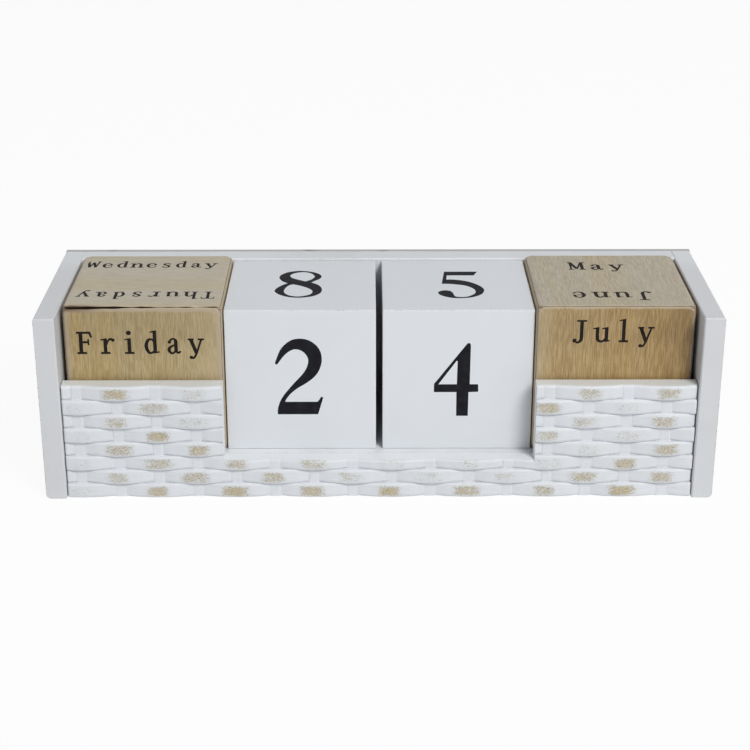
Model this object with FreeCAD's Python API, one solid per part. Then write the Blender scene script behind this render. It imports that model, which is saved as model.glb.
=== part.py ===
"""A perpetual block calendar: a painted open-topped case with a woven front and four loose blocks.

Millimetres. +X runs to the viewer's right, +Y to the back, +Z up. The origin is on the table,
under the middle of the case.
"""
import FreeCAD, Part
import math
import os

V = FreeCAD.Vector

# Blocks
NUMBER_CUBE = 60.0
NUMBER_EDGE_EASE = 0.35
WORD_BLOCK = 62.6
PLATE_THICKNESS = 3.0
PLATE_JOINT = 0.12         # glue line between two mitred plates
BLOCK_EDGE_ROUND = 1.6
BLOCK_CORNER_CUT = 1.9     # how much sanding takes off each corner of a word block
OPEN_JOINT_WIDE = 1.15     # sprung glue line over the weekday's front plate, left end
OPEN_JOINT_NARROW = 0.2    # the same, right end

# Clearances around the blocks
BLOCK_SIDE_GAP = 1.5       # word block to side panel
BLOCK_GAP = 0.4            # word block to number cube
NUMBER_GAP = 2.6           # one number cube to the other
BLOCK_FRONT_PLAY = 1.6     # word block to the wing in front of it
BLOCK_BACK_PLAY = 0.3      # word block to the back panel
CUBE_BACK_PLAY = 0.3       # number cube to the back panel

# Case boards
CASE_HEIGHT = 77.2
SIDE_THICKNESS = 8.2
BACK_THICKNESS = 9.5
BACKING_THICKNESS = 3.0
FLOOR_THICKNESS = 8.0
EDGE_EASE = 0.5            # sanded edges of the painted boards
FOOT_ROUND = 2.0           # bottom outer corner of each side panel

# Woven front: a routed board with a stepped U outline
WEAVE_ROWS = 8
ROW_PITCH = 6.04
ROW_SEAM = 0.36            # groove between one row and the next
STAKE_PITCH = 15.55
FIRST_STAKE_INSET = 5.8    # first stake's centre from the board's left end
STAKE_WIDTH = 4.8
STAKE_RELIEF = 0.95
STAKE_BEVEL = 0.3
WEAVE_RELIEF = 2.2         # crown of a strand above the ground of the board
STRAND_BEVEL_DEPTH = 0.55  # how far a strand's long edges fall away from its flat face
STRAND_BEVEL_WIDTH = 1.15  # height of that bevel
GROUND_THICKNESS = 5.3     # board left behind the relief
FRONT_SETBACK = 0.5        # crowns behind the side panels' front edges
FRONT_END_GAP = 0.4        # between each end of the front and the side panel
SILL_HEIGHT = 16.3         # low middle of the front, level with the tray floor
WINDOW_MARGIN = 0.7        # wing's end to the number cube beside it

# The case is built around the row of blocks
NUMBER_PAIR = 2 * NUMBER_CUBE + NUMBER_GAP
ROW_WIDTH = NUMBER_PAIR + 2 * (BLOCK_GAP + WORD_BLOCK + BLOCK_SIDE_GAP)
BAY_DEPTH = max(BLOCK_FRONT_PLAY + WORD_BLOCK + BLOCK_BACK_PLAY, NUMBER_CUBE + CUBE_BACK_PLAY)
FRONT_THICKNESS = WEAVE_RELIEF + GROUND_THICKNESS
CASE_WIDTH = ROW_WIDTH + 2 * SIDE_THICKNESS
CASE_DEPTH = FRONT_SETBACK + FRONT_THICKNESS + BAY_DEPTH + BACK_THICKNESS + BACKING_THICKNESS
WING_HEIGHT = WEAVE_ROWS * ROW_PITCH
WINDOW_WIDTH = NUMBER_PAIR + 2 * WINDOW_MARGIN

# Places across the width
SIDE_INNER_X = ROW_WIDTH / 2
FRONT_END_X = SIDE_INNER_X - FRONT_END_GAP
WORD_BLOCK_X = SIDE_INNER_X - BLOCK_SIDE_GAP - WORD_BLOCK / 2
NUMBER_CUBE_X = (NUMBER_GAP + NUMBER_CUBE) / 2

# Places from front to back
FRONT_Y = -CASE_DEPTH / 2
CROWN_Y = FRONT_Y + FRONT_SETBACK
GROUND_Y = CROWN_Y + WEAVE_RELIEF
FRONT_REAR_Y = CROWN_Y + FRONT_THICKNESS
BACK_FACE_Y = FRONT_REAR_Y + BAY_DEPTH
BACK_REAR_Y = BACK_FACE_Y + BACK_THICKNESS
REAR_Y = BACK_REAR_Y + BACKING_THICKNESS
WORD_BLOCK_Y = FRONT_REAR_Y + BLOCK_FRONT_PLAY + WORD_BLOCK / 2
NUMBER_CUBE_Y = BACK_FACE_Y - CUBE_BACK_PLAY - NUMBER_CUBE / 2


def box(x0, x1, y0, y1, z0, z1):
    """A box between two corners."""
    return Part.makeBox(x1 - x0, y1 - y0, z1 - z0, V(x0, y0, z0))


def edges_at(shape, **planes):
    """Straight edges that lie in every plane named, such as x=134 and z=0."""
    found = []
    for edge in shape.Edges:
        bounds = edge.BoundBox
        spans = {
            "x": (bounds.XMin, bounds.XMax),
            "y": (bounds.YMin, bounds.YMax),
            "z": (bounds.ZMin, bounds.ZMax),
        }
        if all(abs(v - at) < 1e-4 for axis, at in planes.items() for v in spans[axis]):
            found.append(edge)
    return found


# ---- case ----

def side_panel(side):
    """One end of the case. side is -1 for the left panel and +1 for the right one."""
    outer = side * CASE_WIDTH / 2
    inner = side * SIDE_INNER_X
    panel = box(min(outer, inner), max(outer, inner), FRONT_Y, BACK_REAR_Y, 0, CASE_HEIGHT)
    panel = panel.makeFillet(FOOT_ROUND, edges_at(panel, x=outer, z=0))
    eased = (
        edges_at(panel, x=outer, z=CASE_HEIGHT)
        + edges_at(panel, x=inner, z=CASE_HEIGHT)
        + edges_at(panel, y=FRONT_Y, z=CASE_HEIGHT)
        + edges_at(panel, x=inner, y=FRONT_Y)
    )
    return panel.makeChamfer(EDGE_EASE, eased)


def back_panel():
    """The painted board behind the blocks, between the side panels."""
    board = box(-SIDE_INNER_X, SIDE_INNER_X, BACK_FACE_Y, BACK_REAR_Y, 0, CASE_HEIGHT)
    return board.makeChamfer(EDGE_EASE, edges_at(board, y=BACK_FACE_Y, z=CASE_HEIGHT))


def backing_board():
    """The thin unpainted-edge board that closes the rear over the full width."""
    half = CASE_WIDTH / 2
    board = box(-half, half, BACK_REAR_Y, REAR_Y, 0, CASE_HEIGHT)
    return board.makeChamfer(EDGE_EASE, edges_at(board, y=REAR_Y, z=CASE_HEIGHT))


def tray_floor():
    """The raised floor that the blocks stand on, level with the sill of the front."""
    low = SILL_HEIGHT - FLOOR_THICKNESS
    return box(-SIDE_INNER_X, SIDE_INNER_X, FRONT_REAR_Y, BACK_FACE_Y, low, SILL_HEIGHT)


# ---- woven front ----

def front_outline(y0, y1):
    """The stepped U of the front, two wings over one sill, as a slab from y0 to y1."""
    window = WINDOW_WIDTH / 2
    corners = [
        (-FRONT_END_X, 0), (FRONT_END_X, 0), (FRONT_END_X, WING_HEIGHT),
        (window, WING_HEIGHT), (window, SILL_HEIGHT), (-window, SILL_HEIGHT),
        (-window, WING_HEIGHT), (-FRONT_END_X, WING_HEIGHT),
    ]
    points = [V(x, y0, z) for x, z in corners]
    face = Part.Face(Part.makePolygon(points + points[:1]))
    return face.extrude(V(0, y1 - y0, 0))


def stake_centres():
    """Stake centres from left to right. One pitch beyond the right end carries the last crowns."""
    first = -FRONT_END_X + FIRST_STAKE_INSET
    count = int((FRONT_END_X - first) // STAKE_PITCH) + 2
    return [first + n * STAKE_PITCH for n in range(count)]


def stake(x):
    """An upright stake: a low flat rib with bevelled edges, seen wherever a strand dips behind it."""
    half = STAKE_WIDTH / 2
    flat = half - STAKE_BEVEL
    shoulder_y = GROUND_Y - STAKE_RELIEF + STAKE_BEVEL
    top_y = GROUND_Y - STAKE_RELIEF
    root_y = GROUND_Y + STAKE_RELIEF
    section = [
        V(x - half, root_y, 0), V(x - half, shoulder_y, 0), V(x - flat, top_y, 0),
        V(x + flat, top_y, 0), V(x + half, shoulder_y, 0), V(x + half, root_y, 0),
    ]
    return Part.Face(Part.makePolygon(section + section[:1])).extrude(V(0, 0, WING_HEIGHT))


def strand(x, z):
    """One visible length of a flat strand, bowed over the stake at x and diving at both ends.

    Its cross-section, flat with two bevelled edges, is turned about an upright axis behind the
    board. The bow would reach the ground of the board at the middle of the two neighbouring
    stakes, so the strand runs into the sides of both.
    """
    bow = (STAKE_PITCH ** 2 + WEAVE_RELIEF ** 2) / (2 * WEAVE_RELIEF)
    reach = STAKE_PITCH - STAKE_WIDTH / 2 + STAKE_BEVEL
    half_turn = math.degrees(math.asin(reach / bow))
    half_height = (ROW_PITCH - ROW_SEAM) / 2
    half_flat = half_height - STRAND_BEVEL_WIDTH
    edge_y = CROWN_Y + STRAND_BEVEL_DEPTH
    root_y = GROUND_Y + STAKE_RELIEF
    section = [
        V(x, root_y, z - half_height), V(x, edge_y, z - half_height), V(x, CROWN_Y, z - half_flat),
        V(x, CROWN_Y, z + half_flat), V(x, edge_y, z + half_height), V(x, root_y, z + half_height),
    ]
    axis = V(x, CROWN_Y + bow, 0)
    face = Part.Face(Part.makePolygon(section + section[:1]))
    face.rotate(axis, V(0, 0, 1), -half_turn)
    return face.revolve(axis, V(0, 0, 1), 2 * half_turn)


def woven_front():
    """The stepped front board with its basket weave, all one routed piece."""
    centres = stake_centres()
    relief = [stake(x) for x in centres]
    before = [centres[0] - STAKE_PITCH]
    for row in range(WEAVE_ROWS):
        z = WING_HEIGHT - (row + 0.5) * ROW_PITCH
        in_window = z - ROW_PITCH / 2 >= SILL_HEIGHT
        for n, x in enumerate(before + centres):
            over_window = abs(x) < WINDOW_WIDTH / 2 - STAKE_PITCH
            if n % 2 == row % 2 and not (in_window and over_window):
                relief.append(strand(x, z))
    weave = relief[0].multiFuse(relief[1:])
    weave = weave.common(front_outline(FRONT_Y, FRONT_REAR_Y))
    return front_outline(GROUND_Y, FRONT_REAR_Y).fuse(weave).removeSplitter()


# ---- blocks ----

def number_cube(side):
    """A solid painted cube with crisp edges. side is -1 for tens and +1 for units."""
    half = NUMBER_CUBE / 2
    x = side * NUMBER_CUBE_X
    cube = box(
        x - half, x + half, NUMBER_CUBE_Y - half, NUMBER_CUBE_Y + half,
        SILL_HEIGHT, SILL_HEIGHT + NUMBER_CUBE,
    )
    return cube.makeChamfer(NUMBER_EDGE_EASE, cube.Edges)


def flat_sided(*outlines):
    """A solid with one flat face on each outline, a list of points."""
    faces = [Part.Face(Part.makePolygon(points + points[:1])) for points in outlines]
    return Part.Solid(Part.Shell(faces))


def square(side, height):
    """The corners of a level square about the Z axis."""
    half = side / 2
    return [V(-half, -half, height), V(half, -half, height), V(half, half, height),
            V(-half, half, height)]


def frustum(low, high):
    """A flat-sided solid between two level outlines with as many corners each."""
    count = len(low)
    sides = []
    for n in range(count):
        after = (n + 1) % count
        sides.append([low[n], low[after], high[after], high[n]])
    return flat_sided(low, high, *sides)


def octahedron(reach):
    """An eight-sided solid whose tips lie at reach along each axis."""
    outlines = []
    for x in (-reach, reach):
        for y in (-reach, reach):
            for z in (-reach, reach):
                outlines.append([V(x, 0, 0), V(0, y, 0), V(0, 0, z)])
    return flat_sided(*outlines)


def sanded_block():
    """The outside of a word block: a cube with rounded edges and corners sanded back."""
    half = WORD_BLOCK / 2
    cube = box(-half, half, -half, half, -half, half)
    cube = cube.makeFillet(BLOCK_EDGE_ROUND, cube.Edges)
    corner_plane = half * math.sqrt(3) - BLOCK_CORNER_CUT
    return cube.common(octahedron(corner_plane * math.sqrt(3)))


def mitred_plate(block):
    """The plate on a block's +Z face, mitred at 45 degrees into its four neighbours."""
    core = WORD_BLOCK - 2 * PLATE_THICKNESS
    above = PLATE_THICKNESS
    inner = square(core - 2 * PLATE_JOINT, core / 2)
    outer = square(core - 2 * PLATE_JOINT + 2 * (PLATE_THICKNESS + above),
                   core / 2 + PLATE_THICKNESS + above)
    return block.common(frustum(inner, outer))


def sprung_joint():
    """A wedge along the mitre over the front plate, wide at the left and closing to the right."""
    core = WORD_BLOCK / 2 - PLATE_THICKNESS
    past = WORD_BLOCK / 2 + PLATE_THICKNESS

    def section(x, opening):
        rise = opening * math.sqrt(2)
        return [V(x, -core, core), V(x, -past, past), V(x, -past, past + rise),
                V(x, -core, core + rise)]

    return frustum(section(-past, OPEN_JOINT_WIDE), section(past, OPEN_JOINT_NARROW))


FACES = {
    "top": (V(1, 0, 0), 0),
    "bottom": (V(1, 0, 0), 180),
    "front": (V(1, 0, 0), 90),
    "back": (V(1, 0, 0), -90),
    "left": (V(0, 1, 0), -90),
    "right": (V(0, 1, 0), 90),
}


def word_block(name, side, sprung=False):
    """A wooden core under six thin mitred plates. side is -1 for weekday and +1 for month."""
    centre = V(side * WORD_BLOCK_X, WORD_BLOCK_Y, SILL_HEIGHT + WORD_BLOCK / 2)
    half = WORD_BLOCK / 2 - PLATE_THICKNESS
    pieces = {name + "_core": box(-half, half, -half, half, -half, half)}
    plate = mitred_plate(sanded_block())
    for face, (axis, angle) in FACES.items():
        turned = plate.copy()
        turned.rotate(V(0, 0, 0), axis, angle)
        pieces[f"{name}_{face}_plate"] = turned
    if sprung:
        top = name + "_top_plate"
        pieces[top] = pieces[top].cut(sprung_joint())
    for shape in pieces.values():
        shape.translate(centre)
    return pieces


# ---- assembly ----

def assembly():
    """Every piece of the calendar by name."""
    pieces = {
        "left_side_panel": side_panel(-1),
        "right_side_panel": side_panel(1),
        "back_panel": back_panel(),
        "backing_board": backing_board(),
        "tray_floor": tray_floor(),
        "woven_front": woven_front(),
        "tens_cube": number_cube(-1),
        "units_cube": number_cube(1),
    }
    pieces.update(word_block("weekday", -1, sprung=True))
    pieces.update(word_block("month", 1))
    return pieces


os.makedirs("parts", exist_ok=True)
for piece_name, piece in assembly().items():
    solids = piece.Solids
    print(piece_name, "solids", len(solids), "valid", piece.isValid(), "volume", round(piece.Volume, 1))
    (solids[0] if len(solids) == 1 else piece).exportStep(f"parts/{piece_name}.step")
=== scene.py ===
import math

import bmesh
import bpy
import numpy as np
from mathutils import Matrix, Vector, noise
from mathutils.geometry import delaunay_2d_cdt


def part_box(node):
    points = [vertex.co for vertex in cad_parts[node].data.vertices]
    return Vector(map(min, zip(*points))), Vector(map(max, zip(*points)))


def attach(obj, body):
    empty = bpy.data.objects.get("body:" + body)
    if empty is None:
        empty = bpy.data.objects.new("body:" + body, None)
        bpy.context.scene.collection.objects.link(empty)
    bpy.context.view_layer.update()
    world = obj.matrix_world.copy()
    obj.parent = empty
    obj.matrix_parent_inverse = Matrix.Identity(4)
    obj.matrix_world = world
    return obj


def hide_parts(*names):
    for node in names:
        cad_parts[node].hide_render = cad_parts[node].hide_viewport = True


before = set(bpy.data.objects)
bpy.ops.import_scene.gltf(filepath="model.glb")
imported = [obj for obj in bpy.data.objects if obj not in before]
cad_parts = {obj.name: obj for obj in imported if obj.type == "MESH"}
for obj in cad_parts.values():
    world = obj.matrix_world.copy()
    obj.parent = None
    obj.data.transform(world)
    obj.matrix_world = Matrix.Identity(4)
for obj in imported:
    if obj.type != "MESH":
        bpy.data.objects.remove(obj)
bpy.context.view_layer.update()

mm = 0.001
touch = 1e-4  # millimetres that count as none
black, white = (0, 0, 0, 1), (1, 1, 1, 1)
scene = bpy.context.scene
print("frame loaded:", len(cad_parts), "nodes")

# camera and lights

viewSetup = {
    "place": (-0.00441, -0.66353, 0.31256),  # metres, in the frame
    "tiltDown": 22.623,                      # degrees below the horizon
    "turn": -0.246,                          # degrees about the upright
    "lens": 82.58, "sensor": 36,             # millimetres
}
lightSetup = {
    "keySide": 30, "keyHeight": 43.5,  # degrees: to the right of straight on, above the floor
    "keyDistance": 3.0, "keySize": 1.2, "keyPower": 62, "keyColour": (1, 0.985, 0.96),
    "fillFrom": (-0.75, -1, 0.7),
    "fillDistance": 1.6, "fillSize": 1.4, "fillPower": 0.4, "fillColour": (0.94, 0.97, 1),
}


def addObject(name, data):
    made = bpy.data.objects.new(name, data)
    scene.collection.objects.link(made)
    return made


def makeCamera():
    data = bpy.data.cameras.new("viewCamera")
    data.lens = viewSetup["lens"]
    data.sensor_width = viewSetup["sensor"]
    camera = addObject("viewCamera", data)
    camera.location = viewSetup["place"]
    camera.rotation_euler = (math.radians(90 - viewSetup["tiltDown"]), 0, math.radians(viewSetup["turn"]))
    scene.camera = camera


def areaLight(kind, direction):
    data = bpy.data.lights.new(kind + "Light", "AREA")
    data.shape = "DISK"
    data.size = lightSetup[kind + "Size"]
    data.energy = lightSetup[kind + "Power"]
    data.color = lightSetup[kind + "Colour"]
    lamp = addObject(kind + "Light", data)
    lamp.location = direction.normalized() * lightSetup[kind + "Distance"]
    lamp.rotation_euler = direction.to_track_quat("Z", "Y").to_euler()


def makeLights():
    side, height = math.radians(lightSetup["keySide"]), math.radians(lightSetup["keyHeight"])
    keyFrom = (math.sin(side) * math.cos(height), -math.cos(side) * math.cos(height), math.sin(height))
    areaLight("key", Vector(keyFrom))
    areaLight("fill", Vector(lightSetup["fillFrom"]))


makeCamera()
makeLights()
scene.view_settings.view_transform = "Standard"
print("camera and lights set")

# node helpers


def feed(tree, made, inputs):  # sets a node's inputs, and links those that are given as sockets
    for name, value in inputs.items():
        if isinstance(value, bpy.types.NodeSocket):
            tree.links.new(value, made.inputs[name])
        else:
            made.inputs[name].default_value = value


def node(tree, kind, inputs, **settings):
    made = tree.nodes.new("ShaderNode" + kind)
    for name, value in settings.items():
        setattr(made, name, value)
    feed(tree, made, inputs)
    return made


def calc(tree, operation, *inputs):
    return node(tree, "Math", dict(enumerate(inputs)), operation=operation).outputs[0]


def weighted(tree, first, share, second, otherShare):
    return calc(tree, "MULTIPLY_ADD", first, share, calc(tree, "MULTIPLY", second, otherShare))


def vectorCalc(tree, operation, *inputs):
    return node(tree, "VectorMath", dict(enumerate(inputs)), operation=operation).outputs[0]


def axes(tree, vector):
    return node(tree, "SeparateXYZ", {0: vector}).outputs


def pushed(tree, value, reach):  # a small shift out of a 0 to 1 noise value
    push = calc(tree, "MULTIPLY", calc(tree, "SUBTRACT", value, 0.5), reach)
    return node(tree, "CombineXYZ", {0: push, 1: push, 2: push}).outputs[0]


def blend(tree, factor, first, second, kind="MIX"):
    inputs = {0: factor, 6: first, 7: second}
    return node(tree, "Mix", inputs, data_type="RGBA", blend_type=kind).outputs[2]


def fade(tree, value, low, high):  # 0 at low and 1 at high, eased
    inputs = {"Value": value, "From Min": low, "From Max": high}
    return node(tree, "MapRange", inputs, interpolation_type="SMOOTHSTEP").outputs[0]


def grain(tree, vector, scale, detail, roughness, run=None):  # 0 to 1 noise, drawn out along its run
    if run:
        vector = vectorCalc(tree, "MULTIPLY", vector, run)
    inputs = {"Vector": vector, "Scale": scale, "Detail": detail, "Roughness": roughness}
    return node(tree, "TexNoise", inputs).outputs[0]


def newGroup(name, inputs, outputs):
    tree = bpy.data.node_groups.new(name, "ShaderNodeTree")
    for label, kind, value in inputs:
        socket = tree.interface.new_socket(label, in_out="INPUT", socket_type="NodeSocket" + kind)
        socket.default_value = value
    for label, kind in outputs:
        tree.interface.new_socket(label, in_out="OUTPUT", socket_type="NodeSocket" + kind)
    source = tree.nodes.new("NodeGroupInput")
    target = tree.nodes.new("NodeGroupOutput")
    return tree, source.outputs, target


def useGroup(tree, group, inputs):
    return node(tree, "Group", inputs, node_tree=group).outputs


def newMaterial(name):
    material = bpy.data.materials.new(name)
    material.use_nodes = True
    tree = material.node_tree
    shader = tree.nodes["Principled BSDF"]
    place = tree.nodes.new("ShaderNodeTexCoord").outputs["Object"]
    return material, tree, shader, place


def coat(tree, shader, colour, roughness, height, bump):  # bump: the depth in metres of a 0 to 1 height
    raised = node(tree, "Bump", {"Height": height, "Distance": bump, "Strength": 1.0}).outputs[0]
    feed(tree, shader, {"Base Color": colour, "Roughness": roughness, "Normal": raised})


# shared effects; a noise is its scale per metre, detail, roughness and its run, below 1 where drawn out

skinLook = {
    "drift": (28, 4, 0.6), "driftRange": (0.35, 0.75),
    "spots": (160, 4, 0.7), "spotRange": (0.66, 0.8),
    "roller": (900, 3, 0.6), "rollerShare": 0.6,
    "brush": (700, 3, 0.6, (0.12, 1, 1)), "brushShare": 0.4,
    "roughness": 0.42, "roughnessSpan": 0.2,
}
woodLook = {
    "warp": (35, 2, 0.5), "warpReach": 0.0012,
    "bands": (320, 3, 0.6), "bandShare": 0.14,
    "streaks": (2600, 2, 0.7), "streakShare": 0.88,
    "clouds": (75, 4, 0.65), "cloudShare": 0.18, "darkRange": (0.44, 0.76),
    "warmth": (60, 3, 0.6), "warmRange": (0.42, 0.62),
    "pores": (4200, 2, 0.6), "poreRange": (0.56, 0.7), "poreDepth": 0.35,
    "roughness": 0.45, "roughnessSpan": 0.25,
}
rubbedLook = {
    "coarse": (380, 3, 0.6, (0.45, 1, 1)), "coarseShare": 0.3,
    "fine": (2600, 2, 0.7, (0.45, 1, 1)), "fineShare": 0.7,
    "contrast": 3.0, "amountShare": 0.85, "amountRange": (0.02, 0.25), "maskRange": (0.2, 0.9),
    "dots": (1300, 1, 0.5), "dotRange": (0.7, 0.78),
}


def makeEdgeBand():  # millimetres from a box's edges, over its skin, with the corners rounded
    tree, given, result = newGroup("edgeBand", [
        ("Place", "Vector", (0, 0, 0)), ("Low", "Vector", (0, 0, 0)), ("High", "Vector", (1, 1, 1)),
        ("Corner", "Float", 4.0)], [("Distance", "Float")])
    fromLow = vectorCalc(tree, "SUBTRACT", given["Place"], given["Low"])
    fromHigh = vectorCalc(tree, "SUBTRACT", given["High"], given["Place"])
    nearest = vectorCalc(tree, "MINIMUM", fromLow, fromHigh)
    x, y, z = axes(tree, vectorCalc(tree, "MULTIPLY", nearest, (1000, 1000, 1000)))
    least = calc(tree, "MINIMUM", calc(tree, "MINIMUM", x, y), z)
    most = calc(tree, "MAXIMUM", calc(tree, "MAXIMUM", x, y), z)
    total = calc(tree, "ADD", calc(tree, "ADD", x, y), z)
    middle = calc(tree, "SUBTRACT", calc(tree, "SUBTRACT", total, least), most)
    short = calc(tree, "MAXIMUM", calc(tree, "SUBTRACT", given["Corner"], middle), 0.0)
    long = calc(tree, "MAXIMUM", calc(tree, "SUBTRACT", given["Corner"], most), 0.0)
    square = weighted(tree, short, short, long, long)
    feed(tree, result, {"Distance": calc(tree, "SUBTRACT", given["Corner"], calc(tree, "SQRT", square))})
    return tree


def makePaintSkin():  # brushed matt paint: slow tone drift, fine roller texture, a few stains
    tree, given, result = newGroup("paintSkin", [
        ("Place", "Vector", (0, 0, 0)), ("Paint", "Color", (0.8, 0.8, 0.8, 1)),
        ("Shade", "Color", (0.7, 0.7, 0.7, 1)), ("Stain", "Color", (0.5, 0.42, 0.34, 1)),
        ("Drift", "Float", 0.5), ("Staining", "Float", 0.0)],
        [("Color", "Color"), ("Roughness", "Float"), ("Height", "Float")])
    drift = fade(tree, grain(tree, given["Place"], *skinLook["drift"]), *skinLook["driftRange"])
    toned = blend(tree, calc(tree, "MULTIPLY", drift, given["Drift"]), given["Paint"], given["Shade"])
    spots = fade(tree, grain(tree, given["Place"], *skinLook["spots"]), *skinLook["spotRange"])
    stained = blend(tree, calc(tree, "MULTIPLY", spots, given["Staining"]), toned, given["Stain"])
    roller = grain(tree, given["Place"], *skinLook["roller"])
    brush = grain(tree, given["Place"], *skinLook["brush"])
    texture = weighted(tree, roller, skinLook["rollerShare"], brush, skinLook["brushShare"])
    rough = calc(tree, "MULTIPLY_ADD", texture, skinLook["roughnessSpan"], skinLook["roughness"])
    feed(tree, result, {"Color": stained, "Roughness": rough, "Height": texture})
    return tree


def makeWoodGrain():  # straight fine pores, slow bands and soft figure
    tree, given, result = newGroup("woodGrain", [
        ("Place", "Vector", (0, 0, 0)), ("Stretch", "Vector", (1, 1, 0.05)),
        ("Light", "Color", (0.5, 0.4, 0.25, 1)), ("Dark", "Color", (0.3, 0.2, 0.1, 1)),
        ("Pore", "Color", (0.2, 0.13, 0.07, 1)), ("Warmth", "Color", (1, 0.955, 0.84, 1))],
        [("Color", "Color"), ("Roughness", "Float"), ("Height", "Float")])
    warp = pushed(tree, grain(tree, given["Place"], *woodLook["warp"]), woodLook["warpReach"])
    along = vectorCalc(tree, "MULTIPLY", vectorCalc(tree, "ADD", given["Place"], warp), given["Stretch"])
    bands = grain(tree, along, *woodLook["bands"])
    streaks = grain(tree, along, *woodLook["streaks"])
    clouds = grain(tree, given["Place"], *woodLook["clouds"])
    tone = weighted(tree, bands, woodLook["bandShare"], streaks, woodLook["streakShare"])
    tone = calc(tree, "MULTIPLY_ADD", clouds, woodLook["cloudShare"], tone)
    body = blend(tree, fade(tree, tone, *woodLook["darkRange"]), given["Light"], given["Dark"])
    warmth = fade(tree, grain(tree, along, *woodLook["warmth"]), *woodLook["warmRange"])
    warm = blend(tree, warmth, body, given["Warmth"], "MULTIPLY")
    pores = fade(tree, grain(tree, along, *woodLook["pores"]), *woodLook["poreRange"])
    pores = calc(tree, "MULTIPLY", pores, woodLook["poreDepth"])
    rough = calc(tree, "MULTIPLY_ADD", streaks, woodLook["roughnessSpan"], woodLook["roughness"])
    feed(tree, result, {"Color": blend(tree, pores, warm, given["Pore"]), "Roughness": rough,
                        "Height": calc(tree, "SUBTRACT", streaks, pores)})
    return tree


def makeRubbedPaint():  # breaks a soft wear amount into ragged speckles that run sideways
    tree, given, result = newGroup("rubbedPaint", [
        ("Place", "Vector", (0, 0, 0)), ("Amount", "Float", 0.5)],
        [("Mask", "Float"), ("Dots", "Float")])
    coarse = grain(tree, given["Place"], *rubbedLook["coarse"])
    fine = grain(tree, given["Place"], *rubbedLook["fine"])
    ragged = weighted(tree, coarse, rubbedLook["coarseShare"], fine, rubbedLook["fineShare"])
    ragged = calc(tree, "MULTIPLY", calc(tree, "SUBTRACT", ragged, 0.5), rubbedLook["contrast"])
    lifted = calc(tree, "MULTIPLY_ADD", given["Amount"], rubbedLook["amountShare"], ragged)
    started = fade(tree, given["Amount"], *rubbedLook["amountRange"])
    mask = calc(tree, "MULTIPLY", fade(tree, lifted, *rubbedLook["maskRange"]), started)
    dots = fade(tree, grain(tree, given["Place"], *rubbedLook["dots"]), *rubbedLook["dotRange"])
    feed(tree, result, {"Mask": mask, "Dots": dots})
    return tree


edgeBand = makeEdgeBand()
paintSkin = makePaintSkin()
woodGrain = makeWoodGrain()
rubbedPaint = makeRubbedPaint()
print("shared effects ready")

# painted case

casePaint = {
    "paint": (0.635, 0.648, 0.672, 1), "ledge": (0.745, 0.765, 0.79, 1), "back": (0.71, 0.73, 0.76, 1),
    "shade": (0.59, 0.60, 0.615, 1), "drift": 0.5,
    "stain": (0.36, 0.28, 0.2, 1), "staining": 0.25,
    "wood": (0.33, 0.25, 0.16, 1), "wear": 0.5, "wearWidth": 0.55, "corner": 0.5,
    "rearTone": (0.012, 0.031),  # metres behind the middle, where the boards turn to the back's tone
    "unwornReach": 0.005,        # metres past a glued joint
    "bump": 0.00004,
    "boards": {"left_side_panel": "paint", "right_side_panel": "paint",
               "back_panel": "back", "tray_floor": "ledge"},
}
backingFibre = {
    "pale": (0.52, 0.525, 0.52, 1), "dull": (0.40, 0.405, 0.40, 1), "brown": (0.26, 0.21, 0.175, 1),
    "fibres": (1400, 4, 0.7, (1, 1, 0.5)), "fibreRange": (0.3, 0.7),
    "blotches": (90, 4, 0.65, (0.5, 1, 1)), "blotchRange": (0.6, 0.75),
    "roughness": 0.75, "bump": 0.00008,
}


def paintWithWear(tree, shader, place, low, high, look, paint):  # paint rubbed through at a box's edges
    skin = useGroup(tree, paintSkin, {
        "Place": place, "Paint": paint, "Shade": look["shade"], "Stain": look["stain"],
        "Drift": look["drift"], "Staining": look["staining"]})
    box = {"Place": place, "Low": low, "High": high, "Corner": look["corner"]}
    edge = useGroup(tree, edgeBand, box)["Distance"]
    near = calc(tree, "SUBTRACT", 1.0, fade(tree, edge, 0.0, look["wearWidth"]))
    amount = calc(tree, "MULTIPLY", near, look["wear"])
    rubbed = useGroup(tree, rubbedPaint, {"Place": place, "Amount": amount})["Mask"]
    colour = blend(tree, rubbed, skin["Color"], look["wood"])
    coat(tree, shader, colour, skin["Roughness"], skin["Height"], look["bump"])


def paintedBoard(name, low, high, tone):
    material, tree, shader, place = newMaterial(name)
    rearward = fade(tree, axes(tree, place)["Y"], *casePaint["rearTone"])
    paint = blend(tree, rearward, casePaint[tone], casePaint["back"])
    paintWithWear(tree, shader, place, low, high, casePaint, paint)
    return material


def fibreBoard(name):  # the unpainted backing board, grey-brown and blotched
    material, tree, shader, place = newMaterial(name)
    look = backingFibre
    fibres = grain(tree, place, *look["fibres"])
    blotches = grain(tree, place, *look["blotches"])
    base = blend(tree, fade(tree, fibres, *look["fibreRange"]), look["dull"], look["pale"])
    colour = blend(tree, fade(tree, blotches, *look["blotchRange"]), base, look["brown"])
    coat(tree, shader, colour, look["roughness"], fibres, look["bump"])
    return material


def dressNode(name, material):
    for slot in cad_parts[name].material_slots:
        slot.material = material


def dressCase():
    for name, tone in casePaint["boards"].items():
        low, high = (list(corner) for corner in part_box(name))
        if name != "right_side_panel":  # no wear where boards meet
            high[0] += casePaint["unwornReach"]
        if name != "left_side_panel":
            low[0] -= casePaint["unwornReach"]
        dressNode(name, paintedBoard(name + "_paint", tuple(low), tuple(high), tone))
    dressNode("backing_board", fibreBoard("backing_board_fibre"))


dressCase()
print("case boards finished")

# lettering, drawn as broad-nibbed pen strokes; one cap height is 1

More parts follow.
